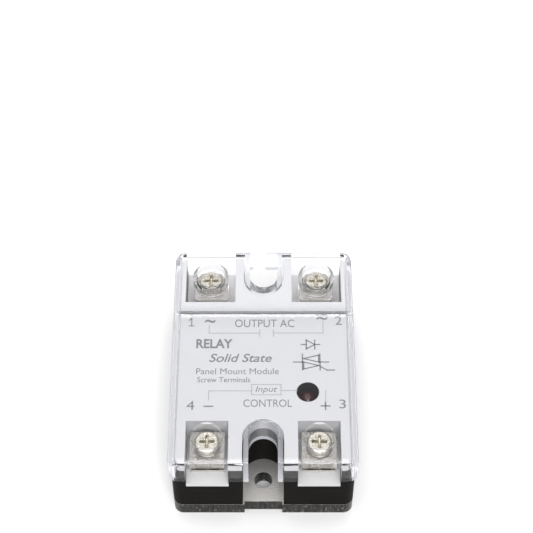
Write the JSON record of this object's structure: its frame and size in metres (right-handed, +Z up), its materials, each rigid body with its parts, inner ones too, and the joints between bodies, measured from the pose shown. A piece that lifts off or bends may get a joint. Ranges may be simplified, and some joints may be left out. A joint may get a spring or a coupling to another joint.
{
  "type": "solid state relay",
  "caption": "Panel-mount solid state relay: dark moulded case on a metal base plate, white top, clear hinged cover, cross-head screw terminals, status lamp and open mounting slots.",
  "frame": {"origin": "centre of the base plate's underside", "axes": "+Z up from the base plate, +Y towards the output terminals 1 and 2, +X towards terminals 2 and 3"},
  "size_m": [0.045, 0.062, 0.026],
  "materials": {
    "base_metal": "nickel plated, satin",
    "dark_case": "moulded, fine texture",
    "white_cap": "moulded, satin",
    "clear_cover": "clear, polished",
    "terminal_metal": "nickel plated, bright",
    "screw_steel": "nickel plated, bright",
    "led_red": "tinted, clear",
    "white_ceramic": "fired, matt",
    "bare_copper": "copper, dull",
    "silicon": "polished",
    "board_green": "glass-epoxy board, solder mask",
    "black_epoxy": "moulded epoxy",
    "capacitor_film": "dipped case",
    "resistor_coat": "coated ceramic",
    "varistor_coat": "epoxy-coated ceramic",
    "potting_grey": "cast, slightly glossy"
  },
  "bodies": {
    "case": {"base_plate": "base_metal", "lower_case": "dark_case", "top_cap": "white_cap", "ceramic_substrate": "white_ceramic", "copper_pads": "bare_copper", "chip_jumpers": "bare_copper", "thyristor_chips": "silicon", "gate_leads": "terminal_metal", "led_leads": "terminal_metal", "circuit_board": "board_green", "status_led": "led_red", "optocoupler": "black_epoxy", "snubber_capacitor": "capacitor_film", "snubber_resistor": "resistor_coat", "varistor": "varistor_coat", "chip_resistors": "black_epoxy", "drive_transistors": "black_epoxy", "potting_compound": "potting_grey", "terminal_1_nut": "screw_steel", "terminal_1_strap": "terminal_metal", "terminal_2_nut": "screw_steel", "terminal_2_strap": "terminal_metal", "terminal_3_nut": "screw_steel", "terminal_3_strap": "terminal_metal", "terminal_4_nut": "screw_steel", "terminal_4_strap": "terminal_metal"},
    "cover": {"cover_main": "clear_cover", "hinge_web": "clear_cover"},
    "flap": {"cover_flap": "clear_cover"},
    "clamp_1": {"terminal_1_clamp": "terminal_metal", "terminal_1_washer": "screw_steel"},
    "screw_1": {"terminal_1_screw": "screw_steel"},
    "clamp_2": {"terminal_2_clamp": "terminal_metal", "terminal_2_washer": "screw_steel"},
    "screw_2": {"terminal_2_screw": "screw_steel"},
    "clamp_3": {"terminal_3_clamp": "terminal_metal", "terminal_3_washer": "screw_steel"},
    "screw_3": {"terminal_3_screw": "screw_steel"},
    "clamp_4": {"terminal_4_clamp": "terminal_metal", "terminal_4_washer": "screw_steel"},
    "screw_4": {"terminal_4_screw": "screw_steel"}
  },
  "joints": [
    {"name": "cover_lift", "type": "slide", "parent": "case", "child": "cover", "axis": [0, 0, 1], "range_m": [0, 0.03]},
    {"name": "flap_hinge", "type": "hinge", "parent": "cover", "child": "flap", "pos_m": [0, 0.0118, 0.0259], "axis": [1, 0, 0], "range_deg": [0, 120]},
    {"name": "clamp_1_lift", "type": "slide", "parent": "case", "child": "clamp_1", "axis": [0, 0, 1], "range_m": [0, 0.0018]},
    {"name": "screw_1_turn", "type": "hinge", "parent": "clamp_1", "child": "screw_1", "pos_m": [-0.0134, 0.0233, 0.0211], "axis": [0, 0, 1], "range_deg": [0, 1081]},
    {"name": "clamp_2_lift", "type": "slide", "parent": "case", "child": "clamp_2", "axis": [0, 0, 1], "range_m": [0, 0.0018]},
    {"name": "screw_2_turn", "type": "hinge", "parent": "clamp_2", "child": "screw_2", "pos_m": [0.0134, 0.0233, 0.0211], "axis": [0, 0, 1], "range_deg": [0, 1081]},
    {"name": "clamp_3_lift", "type": "slide", "parent": "case", "child": "clamp_3", "axis": [0, 0, 1], "range_m": [0, 0.0018]},
    {"name": "screw_3_turn", "type": "hinge", "parent": "clamp_3", "child": "screw_3", "pos_m": [0.0134, -0.0233, 0.0211], "axis": [0, 0, 1], "range_deg": [0, 1081]},
    {"name": "clamp_4_lift", "type": "slide", "parent": "case", "child": "clamp_4", "axis": [0, 0, 1], "range_m": [0, 0.0018]},
    {"name": "screw_4_turn", "type": "hinge", "parent": "clamp_4", "child": "screw_4", "pos_m": [-0.0134, -0.0233, 0.0211], "axis": [0, 0, 1], "range_deg": [0, 1081]}
  ],
  "couplings": [
    {"joint": "screw_1_turn", "follows": "clamp_1_lift", "rad_per_m": 10472},
    {"joint": "screw_2_turn", "follows": "clamp_2_lift", "rad_per_m": 10472},
    {"joint": "screw_3_turn", "follows": "clamp_3_lift", "rad_per_m": 10472},
    {"joint": "screw_4_turn", "follows": "clamp_4_lift", "rad_per_m": 10472}
  ]
}
